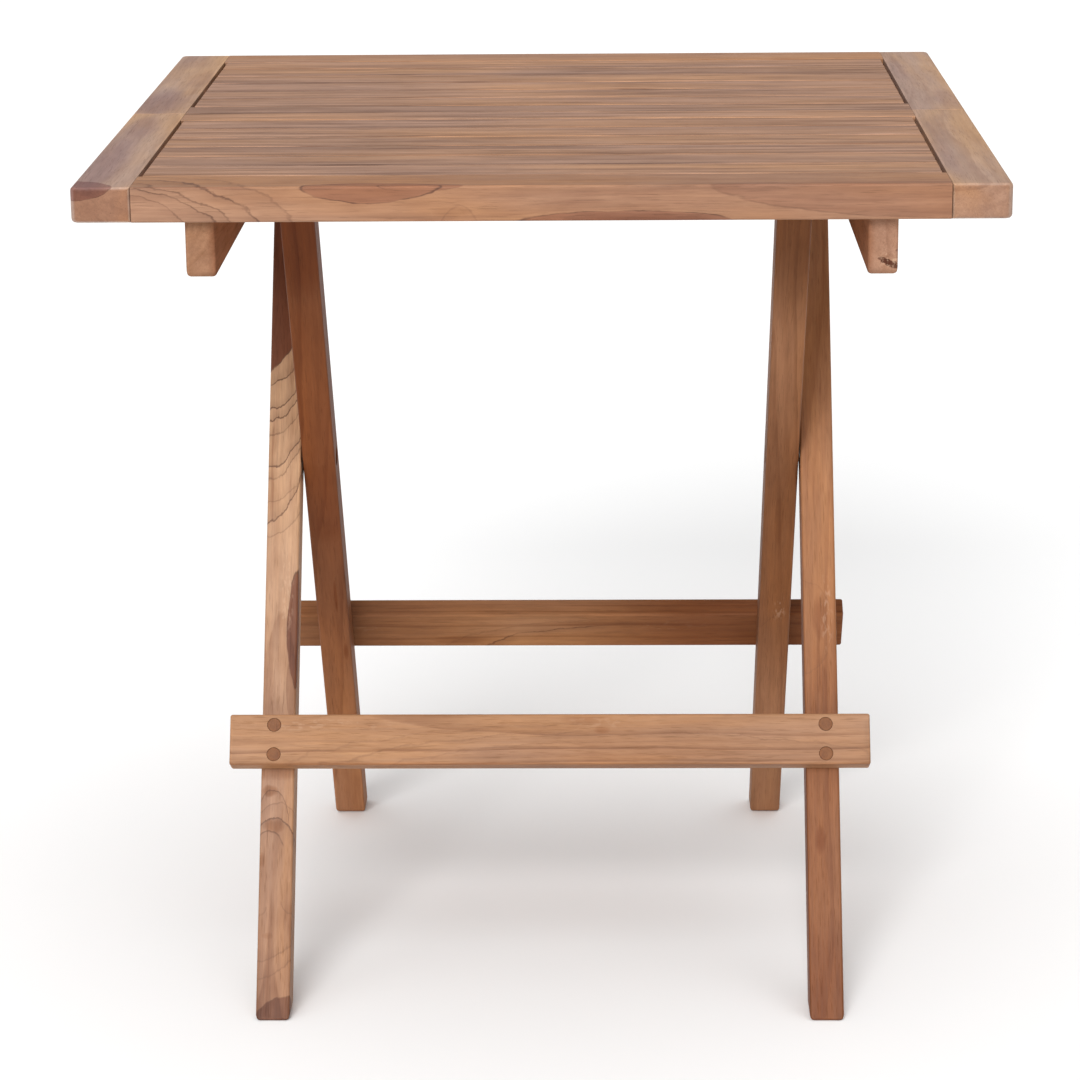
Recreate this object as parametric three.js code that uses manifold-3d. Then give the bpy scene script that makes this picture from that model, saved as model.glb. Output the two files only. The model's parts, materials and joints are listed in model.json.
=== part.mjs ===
// A square folding picnic table in teak. Its top is two leaves that are hinged along the middle,
// over two pairs of crossed legs. The middle is lifted to fold it: the leaves hang down side by
// side and the legs close between them.
// Millimetres. +X is right, +Y is the back, +Z is up, and Z = 0 is the floor, under the table's centre.

import * as THREE from 'three';
import { mergeVertices } from 'three/addons/utils/BufferGeometryUtils.js';
import Module from 'manifold-3d';

const wasm = await Module();
wasm.setup();

// ---- Driving dimensions -------------------------------------------------------------------

const FIT = 0.3;                    // gap between two pieces that touch

const TOP_WIDTH = 700;              // across X
const TOP_DEPTH = 700;              // along Y, both leaves
const TOP_HEIGHT = 712;
const BOARD_THICKNESS = 27;         // end boards and rails
const SEAM_GAP = 0.8;               // between the two leaves

const END_BOARD_WIDTH = 45;
const END_CORNER_RADIUS = 6;        // outer corners of the top, seen from above
const OUTER_RAIL_WIDTH = 46;
const SEAM_RAIL_WIDTH = 35;
const RAIL_TENON_LENGTH = 13;
const RAIL_TENON_SHOULDER = 7;      // from the rail's edge to its tenon's edge

const SLATS_PER_LEAF = 6;
const SLAT_GAP = 1.7;
const SLAT_THICKNESS = 20;
const SLAT_END_GAP = 3.5;           // the open slot between a slat's end and the end board
const SLAT_TONGUE_LENGTH = 12;      // into the end board, past the slot
const SLAT_TONGUE_SHOULDER = 2;
const TONGUE_THICKNESS = 9;
const GROOVE_DEPTH = 14;
const GROOVE_END_WALL = 5;          // the groove stops this far from the end board's ends

const CLEAT_WIDTH = 22.5;
const CLEAT_DEPTH = 45;             // below the rails
const CLEAT_SETBACK = 15;           // from the table's front or back edge
const CLEAT_TOE_RADIUS = 7;         // lower corner at the outer end
const FRONT_CLEAT_X = 255.75;       // centre of the right one
const CLEAT_CLEARANCE = 1;          // between the cleats of the two leaves

const LEG_THICKNESS = 28;           // along X
const LEG_WIDTH = 30;               // seen from the side
const LEG_LEAN = 30.5;              // degrees from upright, table open
const OUTER_LEG_X = 228.5;          // centre of the right outer leg
const LEG_CLEARANCE = 1.4;          // between an outer and an inner leg
const CROSSING_HEIGHT = 414;
const LEG_PIVOT_DROP = 16;          // leg top pivots, below the rails
const SEAM_PIVOT_DROP = 34;         // middle pivot, below the rails

// up is along the leg's face, from its toe to the stretcher's middle.
const FRONT_STRETCHER = { name: 'front', length: 535, up: 233 };
const BACK_STRETCHER = { name: 'back', length: 528, up: 245 };
const STRETCHER_WIDTH = 43;
const STRETCHER_THICKNESS = 20;
const STRETCHER_CORNER_RADIUS = 2;
const PLUG_RADIUS = 5.6;
const PLUG_DEPTH = 8;
const PLUG_OFFSET = 12.5;           // from the stretcher's middle line
const PLUG_X = 230.5;

const BOLT_RADIUS = 4;
const BOLT_HEAD_RADIUS = 7.5;
const BOLT_HEAD_HEIGHT = 3.6;
const BOLT_HEAD_RIM = 1.1;          // the straight part of the head's height
const BOLT_END = 2.5;               // past the nut
const BOLT_CHAMFER = 0.6;
const HEAD_RECESS = 5;              // sunk into the cleat
const CROSSING_RECESS = 4.2;        // sunk into a leg, for the crossing pivot's head and flange
const NUT_ACROSS_FLATS = 13;
const NUT_THICKNESS = 6.5;
const SPACER_RADIUS = 6;
const BARREL_RADIUS = 5.2;
const BARREL_FLANGE_RADIUS = 8;
const BARREL_FLANGE_THICKNESS = 2.6;
const BARREL_BORE_RADIUS = 3;
const BARREL_WALL = 4;              // closed end of the barrel nut's bore
const BARREL_CHAMFER = 1;

const ROUND_SEGMENTS = 24;
const ARC_SEGMENTS = 6;
const CUT_EXTRA = 5;                // how far a cutter runs past the surface that it cuts
const MERGE_DISTANCE = 1e-4;        // corners closer than this are one corner

// ---- Derived sizes ------------------------------------------------------------------------

const RAIL_BOTTOM = TOP_HEIGHT - BOARD_THICKNESS;
const LEAF_DEPTH = (TOP_DEPTH - SEAM_GAP) / 2;
const END_BOARD_INNER_X = TOP_WIDTH / 2 - END_BOARD_WIDTH;
const SLAT_FIELD = LEAF_DEPTH - OUTER_RAIL_WIDTH - SEAM_RAIL_WIDTH;
const SLAT_PITCH = (SLAT_FIELD - SLAT_GAP) / SLATS_PER_LEAF;
const SLAT_WIDTH = SLAT_PITCH - SLAT_GAP;
const TONGUE_Z = TOP_HEIGHT - SLAT_THICKNESS / 2;

const BACK_CLEAT_X = FRONT_CLEAT_X + CLEAT_WIDTH + CLEAT_CLEARANCE;
const CLEAT_BOTTOM = RAIL_BOTTOM - CLEAT_DEPTH;
const SEAM_PIVOT_Z = RAIL_BOTTOM - SEAM_PIVOT_DROP;
const LEG_PIVOT_Z = RAIL_BOTTOM - LEG_PIVOT_DROP;
const CLEAT_END_RADIUS = SEAM_PIVOT_DROP - FIT;

const LEAN = THREE.MathUtils.degToRad(LEG_LEAN);
const LEG_PIVOT_Y = (LEG_PIVOT_Z - CROSSING_HEIGHT) * Math.tan(LEAN);
const UPPER_LEG_LENGTH = (LEG_PIVOT_Z - CROSSING_HEIGHT) / Math.cos(LEAN);
const INNER_LEG_X = OUTER_LEG_X - LEG_THICKNESS - LEG_CLEARANCE;
const TOE_ALONG_LEG = (CROSSING_HEIGHT + LEG_WIDTH / 2 * Math.sin(LEAN)) / Math.cos(LEAN);
const HEEL_ALONG_LEG = (CROSSING_HEIGHT - LEG_WIDTH / 2 * Math.sin(LEAN)) / Math.cos(LEAN);

// ---- Materials ----------------------------------------------------------------------------

function material(color, roughness, metalness) {
  return new THREE.MeshStandardMaterial({ color, roughness, metalness });
}

const TOP_TEAK = material(0xa98468, 0.7, 0);
const RAIL_TEAK = material(0xb98c68, 0.7, 0);
const LEG_TEAK = material(0xc29674, 0.7, 0);
const PLUG_TEAK = material(0x8c6346, 0.75, 0);
const STEEL = material(0xb4b2ac, 0.35, 1);

// ---- Solids -------------------------------------------------------------------------------

// A closed solid for cutting and joining. Corners that fall together leave flat triangles, which are dropped.
function solidOf(geometry) {
  const bare = geometry.index ? geometry.toNonIndexed() : geometry.clone();
  bare.deleteAttribute('normal');
  bare.deleteAttribute('uv');
  const merged = mergeVertices(bare, MERGE_DISTANCE);
  const corners = merged.index.array;
  const kept = [];
  for (let i = 0; i < corners.length; i += 3) {
    const [a, b, c] = corners.slice(i, i + 3);
    if (a !== b && b !== c && c !== a) {
      kept.push(a, b, c);
    }
  }
  return new wasm.Manifold(new wasm.Mesh({
    numProp: 3,
    vertProperties: new Float32Array(merged.attributes.position.array),
    triVerts: new Uint32Array(kept),
  }));
}

function geometryOf(solid) {
  const shape = solid.getMesh();
  const geometry = new THREE.BufferGeometry();
  geometry.setAttribute('position', new THREE.BufferAttribute(shape.vertProperties, 3));
  geometry.setIndex(new THREE.BufferAttribute(shape.triVerts, 1));
  geometry.computeVertexNormals();
  return geometry;
}

// A box from its lowest to its highest corner.
function boxBetween(low, high) {
  const size = high.map((value, axis) => value - low[axis]);
  const middle = high.map((value, axis) => (value + low[axis]) / 2);
  return solidOf(new THREE.BoxGeometry(...size).translate(...middle));
}

// A round bar along X, from one X to another, around the line through (y, z).
function barAlongX(radius, fromX, toX, y, z) {
  const bar = new THREE.CylinderGeometry(radius, radius, toX - fromX, ROUND_SEGMENTS);
  return solidOf(bar.rotateZ(Math.PI / 2).translate((fromX + toX) / 2, y, z));
}

// A round bar along Y, from one Y to another, around the line through (x, z).
function barAlongY(radius, fromY, toY, x, z) {
  const bar = new THREE.CylinderGeometry(radius, radius, toY - fromY, ROUND_SEGMENTS);
  return solidOf(bar.translate(x, (fromY + toY) / 2, z));
}

// An outline in Y and Z, made into a board of a thickness along X, with X = 0 in its middle.
function boardFromSideOutline(outline, thickness) {
  const board = new THREE.ExtrudeGeometry(outline, {
    depth: thickness,
    bevelEnabled: false,
    curveSegments: ARC_SEGMENTS,
  });
  board.translate(0, 0, -thickness / 2);
  return solidOf(board.rotateY(Math.PI / 2).rotateX(Math.PI / 2));
}

// A profile of [radius, distance] points, turned around X. Distances grow towards +X.
function turnedAlongX(profile) {
  const points = profile.map(([radius, distance]) => new THREE.Vector2(radius, distance));
  return solidOf(new THREE.LatheGeometry(points, ROUND_SEGMENTS).rotateZ(-Math.PI / 2));
}

function meshOf(name, solid, look) {
  const mesh = new THREE.Mesh(geometryOf(solid), look);
  mesh.name = name;
  return mesh;
}

// ---- Leaf: end boards, rails, slats and cleats --------------------------------------------
// A leaf is made as the front one: its outer edge is at -Y and its seam edge is just short of Y = 0.

const LEAF_OUTER_Y = -TOP_DEPTH / 2;
const LEAF_SEAM_Y = LEAF_OUTER_Y + LEAF_DEPTH;

// The right end board: one rounded corner, and a groove along its inner side for tenons and tongues.
function endBoard() {
  const outerX = TOP_WIDTH / 2;
  const radius = END_CORNER_RADIUS;
  const plan = new THREE.Shape();
  plan.moveTo(END_BOARD_INNER_X, LEAF_OUTER_Y);
  plan.lineTo(outerX - radius, LEAF_OUTER_Y);
  plan.absarc(outerX - radius, LEAF_OUTER_Y + radius, radius, -Math.PI / 2, 0);
  plan.lineTo(outerX, LEAF_SEAM_Y);
  plan.lineTo(END_BOARD_INNER_X, LEAF_SEAM_Y);
  const block = new THREE.ExtrudeGeometry(plan, {
    depth: BOARD_THICKNESS,
    bevelEnabled: false,
    curveSegments: ARC_SEGMENTS,
  });
  const groove = boxBetween(
    [END_BOARD_INNER_X - CUT_EXTRA, LEAF_OUTER_Y + GROOVE_END_WALL, TONGUE_Z - TONGUE_THICKNESS / 2 - FIT],
    [END_BOARD_INNER_X + GROOVE_DEPTH, LEAF_SEAM_Y - GROOVE_END_WALL, TONGUE_Z + TONGUE_THICKNESS / 2 + FIT],
  );
  return solidOf(block.translate(0, 0, RAIL_BOTTOM)).subtract(groove);
}

// A board between the end boards, with a tongue at each end.
function crossBoard(fromY, toY, thickness, endGap, tongueLength, shoulder) {
  const bodyX = END_BOARD_INNER_X - endGap;
  const tongueX = END_BOARD_INNER_X + tongueLength;
  const body = boxBetween([-bodyX, fromY, TOP_HEIGHT - thickness], [bodyX, toY, TOP_HEIGHT]);
  const tongue = boxBetween(
    [-tongueX, fromY + shoulder, TONGUE_Z - TONGUE_THICKNESS / 2],
    [tongueX, toY - shoulder, TONGUE_Z + TONGUE_THICKNESS / 2],
  );
  return body.add(tongue);
}

function rail(fromY, toY) {
  return crossBoard(fromY, toY, BOARD_THICKNESS, FIT, RAIL_TENON_LENGTH, RAIL_TENON_SHOULDER);
}

function slat(index) {
  const fromY = LEAF_OUTER_Y + OUTER_RAIL_WIDTH + SLAT_GAP + index * SLAT_PITCH;
  const toY = fromY + SLAT_WIDTH;
  return crossBoard(fromY, toY, SLAT_THICKNESS, SLAT_END_GAP, SLAT_TONGUE_LENGTH, SLAT_TONGUE_SHOULDER);
}

// The cleat under the leaf, from the side. It stands up between the rails against the slats, and its
// end past the seam is round about the middle pivot, so that it clears the other leaf as they fold.
function cleatOutline() {
  const outerY = LEAF_OUTER_Y + CLEAT_SETBACK;
  const underRail = RAIL_BOTTOM - FIT;
  const underSlat = TOP_HEIGHT - SLAT_THICKNESS - FIT;
  const riseFromY = LEAF_OUTER_Y + OUTER_RAIL_WIDTH + FIT;
  const riseToY = LEAF_SEAM_Y - SEAM_RAIL_WIDTH - FIT;
  const endBottom = Math.asin((CLEAT_BOTTOM - SEAM_PIVOT_Z) / CLEAT_END_RADIUS);
  const outline = new THREE.Shape();
  outline.moveTo(outerY + CLEAT_TOE_RADIUS, CLEAT_BOTTOM);
  outline.absarc(0, SEAM_PIVOT_Z, CLEAT_END_RADIUS, endBottom, Math.PI / 2);
  outline.lineTo(riseToY, underRail);
  outline.lineTo(riseToY, underSlat);
  outline.lineTo(riseFromY, underSlat);
  outline.lineTo(riseFromY, underRail);
  outline.lineTo(outerY, underRail);
  outline.lineTo(outerY, CLEAT_BOTTOM + CLEAT_TOE_RADIUS);
  const toeY = outerY + CLEAT_TOE_RADIUS;
  const toeZ = CLEAT_BOTTOM + CLEAT_TOE_RADIUS;
  outline.absarc(toeY, toeZ, CLEAT_TOE_RADIUS, Math.PI, Math.PI * 1.5);
  return outline;
}

// The right cleat of the front leaf, at X = 0: bolt holes for the middle pivot and the leg, and a
// recess on its outer side that takes the leg bolt's head.
function cleat() {
  const half = CLEAT_WIDTH / 2;
  const holeRadius = BOLT_RADIUS + FIT;
  const seamHole = barAlongX(holeRadius, -half - CUT_EXTRA, half + CUT_EXTRA, 0, SEAM_PIVOT_Z);
  const legHole = barAlongX(holeRadius, -half - CUT_EXTRA, half + CUT_EXTRA, -LEG_PIVOT_Y, LEG_PIVOT_Z);
  const recessRadius = BOLT_HEAD_RADIUS + FIT;
  const recess = barAlongX(recessRadius, half - HEAD_RECESS, half + CUT_EXTRA, -LEG_PIVOT_Y, LEG_PIVOT_Z);
  const board = boardFromSideOutline(cleatOutline(), CLEAT_WIDTH);
  return board.subtract(seamHole).subtract(legHole).subtract(recess);
}

// leafName is front or back, and cleatX is where the right cleat's middle is. sideNames says what the
// sides at +X and -X are called: the back leaf is the front one turned half round, so its swap over.
function leaf(leafName, cleatX, sideNames) {
  const group = new THREE.Group();
  const [sideName, otherSideName] = sideNames;
  const board = endBoard();
  const cleatSolid = cleat().translate([cleatX, 0, 0]);
  group.add(meshOf(`${leafName}_end_board_${sideName}`, board, TOP_TEAK));
  group.add(meshOf(`${leafName}_end_board_${otherSideName}`, board.mirror([1, 0, 0]), TOP_TEAK));
  group.add(meshOf(`${leafName}_cleat_${sideName}`, cleatSolid, LEG_TEAK));
  group.add(meshOf(`${leafName}_cleat_${otherSideName}`, cleatSolid.mirror([1, 0, 0]), LEG_TEAK));
  const outerRail = rail(LEAF_OUTER_Y, LEAF_OUTER_Y + OUTER_RAIL_WIDTH);
  const seamRail = rail(LEAF_SEAM_Y - SEAM_RAIL_WIDTH, LEAF_SEAM_Y);
  group.add(meshOf(`${leafName}_outer_rail`, outerRail, RAIL_TEAK));
  group.add(meshOf(`${leafName}_seam_rail`, seamRail, TOP_TEAK));
  for (let index = 0; index < SLATS_PER_LEAF; index += 1) {
    group.add(meshOf(`${leafName}_slat_${index + 1}`, slat(index), TOP_TEAK));
  }
  return group;
}

// ---- Legs, stretchers and plugs -----------------------------------------------------------
// A leg pair is made upright, with the crossing pivot at the origin. toeSide is -1 when the foot
// reaches forward and the top leans back, as on the outer legs, and 1 when it is the other way.

function legOutline(toeSide) {
  const half = LEG_WIDTH / 2;
  const outline = new THREE.Shape();
  outline.moveTo(half, -(toeSide === 1 ? TOE_ALONG_LEG : HEEL_ALONG_LEG));
  outline.lineTo(half, UPPER_LEG_LENGTH);
  outline.absarc(0, UPPER_LEG_LENGTH, half, 0, Math.PI);
  outline.lineTo(-half, -(toeSide === 1 ? HEEL_ALONG_LEG : TOE_ALONG_LEG));
  return outline;
}

// The right leg of a pair, at X = 0. The crossing hole has a recess for a head or flange on the
// outer leg's outer side, and on the inner leg's inner side.
function leg(toeSide, holeRadius, recessRadius) {
  const half = LEG_THICKNESS / 2;
  const reach = half + CUT_EXTRA;
  const crossingHole = barAlongX(holeRadius, -reach, reach, 0, 0);
  const topHole = barAlongX(BOLT_RADIUS + FIT, -reach, reach, 0, UPPER_LEG_LENGTH);
  const recessEnds = [-toeSide * (half - CROSSING_RECESS), -toeSide * reach];
  const recess = barAlongX(recessRadius, Math.min(...recessEnds), Math.max(...recessEnds), 0, 0);
  const board = boardFromSideOutline(legOutline(toeSide), LEG_THICKNESS);
  return board.subtract(crossingHole).subtract(topHole).subtract(recess);
}

// Where the stretcher's outer face is, in the upright leg pair's Y.
function stretcherFaceY(toeSide) {
  return toeSide * (LEG_WIDTH / 2 + FIT + STRETCHER_THICKNESS);
}

function stretcherOutline(length) {
  const halfLength = length / 2 - STRETCHER_CORNER_RADIUS;
  const halfWidth = STRETCHER_WIDTH / 2 - STRETCHER_CORNER_RADIUS;
  const outline = new THREE.Shape();
  outline.absarc(halfLength, halfWidth, STRETCHER_CORNER_RADIUS, 0, Math.PI / 2);
  outline.absarc(-halfLength, halfWidth, STRETCHER_CORNER_RADIUS, Math.PI / 2, Math.PI);
  outline.absarc(-halfLength, -halfWidth, STRETCHER_CORNER_RADIUS, Math.PI, Math.PI * 1.5);
  outline.absarc(halfLength, -halfWidth, STRETCHER_CORNER_RADIUS, Math.PI * 1.5, Math.PI * 2);
  return outline;
}

// Each plug's place along X and Z, in the upright leg pair.
function plugPlaces(stretcherZ) {
  const places = [];
  for (const side of [-1, 1]) {
    for (const row of [-1, 1]) {
      places.push([side * PLUG_X, stretcherZ + row * PLUG_OFFSET]);
    }
  }
  return places;
}

// A board across the toe side of two legs, with a blind hole for each plug.
function stretcher(toeSide, length, stretcherZ) {
  const board = new THREE.ExtrudeGeometry(stretcherOutline(length), {
    depth: STRETCHER_THICKNESS,
    bevelEnabled: false,
    curveSegments: ARC_SEGMENTS,
  });
  board.translate(0, 0, -STRETCHER_THICKNESS / 2);
  const faceY = stretcherFaceY(toeSide);
  const middleY = faceY - toeSide * STRETCHER_THICKNESS / 2;
  let solid = solidOf(board.rotateX(Math.PI / 2).translate(0, middleY, stretcherZ));
  for (const [x, z] of plugPlaces(stretcherZ)) {
    const holeEnds = [faceY - toeSide * (PLUG_DEPTH + FIT), faceY + toeSide * CUT_EXTRA];
    solid = solid.subtract(barAlongY(PLUG_RADIUS + FIT, Math.min(...holeEnds), Math.max(...holeEnds), x, z));
  }
  return solid;
}

function plug(toeSide, x, z) {
  const faceY = stretcherFaceY(toeSide);
  const ends = [faceY - toeSide * PLUG_DEPTH, faceY];
  return barAlongY(PLUG_RADIUS, Math.min(...ends), Math.max(...ends), x, z);
}

// pairName is outer or inner, rightLeg is the solid of its right leg, and bar is its stretcher's sizes.
function legPair(pairName, rightLeg, legX, toeSide, bar) {
  const group = new THREE.Group();
  const stretcherZ = bar.up - TOE_ALONG_LEG;
  for (const [side, sideName] of [[-1, 'left'], [1, 'right']]) {
    const solid = side === 1 ? rightLeg : rightLeg.mirror([1, 0, 0]);
    const mesh = meshOf(`${pairName}_leg_${sideName}`, solid, LEG_TEAK);
    mesh.position.x = side * legX;
    group.add(mesh);
  }
  group.add(meshOf(`${bar.name}_stretcher`, stretcher(toeSide, bar.length, stretcherZ), LEG_TEAK));
  const plugNames = ['left_lower', 'left_upper', 'right_lower', 'right_upper'];
  for (const [index, [x, z]] of plugPlaces(stretcherZ).entries()) {
    group.add(meshOf(`${bar.name}_plug_${plugNames[index]}`, plug(toeSide, x, z), PLUG_TEAK));
  }
  group.position.z = CROSSING_HEIGHT;
  group.rotation.x = toeSide * LEAN;
  return group;
}

// ---- Bolts, nuts and spacers --------------------------------------------------------------
// Each is made on the X axis for the table's right side, with X = 0 under the bolt's head.

// A bolt with a low domed head towards +X and a shank of a given length towards -X.
function bolt(shankLength) {
  const profile = [
    [0, -shankLength],
    [BOLT_RADIUS - BOLT_CHAMFER, -shankLength],
    [BOLT_RADIUS, BOLT_CHAMFER - shankLength],
    [BOLT_RADIUS, 0],
    [BOLT_HEAD_RADIUS, 0],
  ];
  const domeHeight = BOLT_HEAD_HEIGHT - BOLT_HEAD_RIM;
  for (let step = 0; step < ARC_SEGMENTS; step += 1) {
    const turn = (step / ARC_SEGMENTS) * Math.PI / 2;
    profile.push([BOLT_HEAD_RADIUS * Math.cos(turn), BOLT_HEAD_RIM + domeHeight * Math.sin(turn)]);
  }
  profile.push([0, BOLT_HEAD_HEIGHT]);
  return turnedAlongX(profile);
}

// A six-sided nut, from X = 0 towards -X.
function nut() {
  const cornerRadius = NUT_ACROSS_FLATS / Math.sqrt(3);
  const hexagon = new THREE.CylinderGeometry(cornerRadius, cornerRadius, NUT_THICKNESS, 6);
  const body = solidOf(hexagon.rotateZ(Math.PI / 2).translate(-NUT_THICKNESS / 2, 0, 0));
  return body.subtract(barAlongX(BOLT_RADIUS + FIT, -NUT_THICKNESS - CUT_EXTRA, CUT_EXTRA, 0, 0));
}

// A tube from X = 0 towards -X.
function spacer(length) {
  const tube = barAlongX(SPACER_RADIUS, -length, 0, 0, 0);
  return tube.subtract(barAlongX(BOLT_RADIUS + FIT, -length - CUT_EXTRA, CUT_EXTRA, 0, 0));
}

// A barrel nut for the crossing pivot: its barrel starts at X = 0 and ends in its flange.
function barrelNut(barrelLength) {
  const flangeEnd = -barrelLength - BARREL_FLANGE_THICKNESS;
  return turnedAlongX([
    [0, flangeEnd],
    [BARREL_FLANGE_RADIUS - BARREL_CHAMFER, flangeEnd],
    [BARREL_FLANGE_RADIUS, flangeEnd + BARREL_CHAMFER],
    [BARREL_FLANGE_RADIUS, -barrelLength],
    [BARREL_RADIUS, -barrelLength],
    [BARREL_RADIUS, 0],
    [BARREL_BORE_RADIUS, 0],
    [BARREL_BORE_RADIUS, BARREL_WALL - barrelLength],
    [0, BARREL_WALL - barrelLength],
  ]);
}

// One mesh for the right side and one, turned half round, for the left.
function onBothSides(nameStart, makeSolid, x, y, z) {
  const meshes = [];
  for (const [side, sideName] of [[-1, 'left'], [1, 'right']]) {
    const mesh = meshOf(`${nameStart}_${sideName}`, makeSolid(), STEEL);
    mesh.position.set(side * x, y, z);
    mesh.rotation.z = side === 1 ? 0 : Math.PI;
    meshes.push(mesh);
  }
  return meshes;
}

// The bolt that joins a front cleat and a back cleat at the middle.
function seamHinge() {
  const headX = BACK_CLEAT_X + CLEAT_WIDTH / 2 + FIT;
  const nutX = FRONT_CLEAT_X - CLEAT_WIDTH / 2 - FIT;
  const shankLength = headX - nutX + NUT_THICKNESS + BOLT_END;
  return [
    ...onBothSides('seam_bolt', () => bolt(shankLength), headX, 0, SEAM_PIVOT_Z),
    ...onBothSides('seam_nut', nut, nutX, 0, SEAM_PIVOT_Z),
  ];
}

// The bolt, spacer and nut that hang a leg's top on its cleat.
function legHinge(pairName, cleatX, legX, y) {
  const headX = cleatX + CLEAT_WIDTH / 2 - HEAD_RECESS + FIT;
  const spacerX = cleatX - CLEAT_WIDTH / 2 - FIT;
  const spacerLength = spacerX - (legX + LEG_THICKNESS / 2 + FIT);
  const nutX = legX - LEG_THICKNESS / 2 - FIT;
  const shankLength = headX - nutX + NUT_THICKNESS + BOLT_END;
  return [
    ...onBothSides(`${pairName}_leg_bolt`, () => bolt(shankLength), headX, y, LEG_PIVOT_Z),
    ...onBothSides(`${pairName}_leg_spacer`, () => spacer(spacerLength), spacerX, y, LEG_PIVOT_Z),
    ...onBothSides(`${pairName}_leg_nut`, nut, nutX, y, LEG_PIVOT_Z),
  ];
}

// The crossing pivot: a bolt in the outer leg and a barrel nut in the inner one, both sunk in.
function crossing() {
  const length = LEG_THICKNESS - CROSSING_RECESS + FIT;
  const headX = OUTER_LEG_X - LEG_THICKNESS / 2 + length;
  const barrelX = INNER_LEG_X + LEG_THICKNESS / 2;
  return [
    ...onBothSides('crossing_bolt', () => bolt(length), headX, 0, CROSSING_HEIGHT),
    ...onBothSides('crossing_nut', () => barrelNut(length), barrelX, 0, CROSSING_HEIGHT),
  ];
}

// ---- Table --------------------------------------------------------------------------------

const table = new THREE.Group();

table.add(leaf('front', FRONT_CLEAT_X, ['right', 'left']));
const backLeaf = leaf('back', BACK_CLEAT_X, ['left', 'right']);
backLeaf.rotation.z = Math.PI;
table.add(backLeaf);

const outerLeg = leg(-1, BOLT_RADIUS + FIT, BOLT_HEAD_RADIUS + FIT);
const innerLeg = leg(1, BARREL_RADIUS + FIT, BARREL_FLANGE_RADIUS + FIT);
table.add(legPair('outer', outerLeg, OUTER_LEG_X, -1, FRONT_STRETCHER));
table.add(legPair('inner', innerLeg, INNER_LEG_X, 1, BACK_STRETCHER));

table.add(...seamHinge());
table.add(...legHinge('outer', BACK_CLEAT_X, OUTER_LEG_X, LEG_PIVOT_Y));
table.add(...legHinge('inner', FRONT_CLEAT_X, INNER_LEG_X, -LEG_PIVOT_Y));
table.add(...crossing());

export default table;
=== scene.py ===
"""A folding picnic table in bare teak, on a pale floor under soft studio light.

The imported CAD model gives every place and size. Each wooden or steel node is redrawn here as a piece
with eased edges, and gets a material that is worked out from the board's own grain direction.
Lengths are in metres unless a comment says millimetres. +X is right, +Y is the back and +Z is up.
"""
import json
import math
import random

import bmesh
import bpy
from mathutils import Matrix, Vector


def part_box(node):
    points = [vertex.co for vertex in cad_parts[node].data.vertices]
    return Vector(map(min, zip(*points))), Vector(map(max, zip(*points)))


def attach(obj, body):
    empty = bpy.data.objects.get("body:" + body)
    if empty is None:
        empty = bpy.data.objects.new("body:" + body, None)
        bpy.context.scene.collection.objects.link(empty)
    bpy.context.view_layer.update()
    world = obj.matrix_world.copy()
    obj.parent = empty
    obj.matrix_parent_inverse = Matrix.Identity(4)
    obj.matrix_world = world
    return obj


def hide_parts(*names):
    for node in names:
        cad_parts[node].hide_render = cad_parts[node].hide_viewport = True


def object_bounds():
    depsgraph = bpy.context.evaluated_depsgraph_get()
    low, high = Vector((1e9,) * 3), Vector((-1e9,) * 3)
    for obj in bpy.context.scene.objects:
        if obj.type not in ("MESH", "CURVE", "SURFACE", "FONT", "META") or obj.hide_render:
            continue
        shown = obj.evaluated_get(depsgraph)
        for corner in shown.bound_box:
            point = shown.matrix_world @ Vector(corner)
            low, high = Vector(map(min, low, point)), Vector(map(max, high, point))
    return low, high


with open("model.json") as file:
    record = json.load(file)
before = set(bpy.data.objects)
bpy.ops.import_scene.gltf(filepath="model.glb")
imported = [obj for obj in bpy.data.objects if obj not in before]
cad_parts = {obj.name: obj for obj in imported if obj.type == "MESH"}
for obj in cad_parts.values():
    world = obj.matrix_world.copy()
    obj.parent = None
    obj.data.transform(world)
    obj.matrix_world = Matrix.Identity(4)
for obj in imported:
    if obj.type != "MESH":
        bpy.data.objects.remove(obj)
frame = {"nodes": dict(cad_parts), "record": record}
CAD_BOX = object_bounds()

MM = 0.001
WHITE = (1.0, 1.0, 1.0, 1.0)
ALONG_X = (1.0, 0.0, 0.0)
ALONG_Y = (0.0, 1.0, 0.0)
UP = (0.0, 0.0, 1.0)
SCENE = bpy.context.scene
COLLECTION = SCENE.collection

# ---- Camera and studio --------------------------------------------------------------------

CAMERA_PLACE = (0.050, -2.831, 1.155)
CAMERA_DOWN = 16.10          # degrees below the horizon
CAMERA_LEFT = 1.21           # degrees to the left of straight ahead
CAMERA_ROLL = -0.50          # degrees
FOCAL_LENGTH = 112.9         # millimetres
SENSOR_WIDTH = 36.0          # millimetres
VIEW_DEPTH = 100.0
FLOOR_SIZE = 60.0
FLOOR_COLOUR = (0.92, 0.92, 0.92, 1.0)
FLOOR_ROUGHNESS = 0.9
FLOOR_GLOSS = 0.1
SKY_STRENGTH = 0.42
# Lights: name, strength, degrees across, degrees above the horizon, degrees to the left of the front.
LIGHTS = (
    ("key", 2.40, 26.0, 29.0, 12.0),
    ("overhead", 1.42, 70.0, 80.0, 0.0),
)


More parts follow.
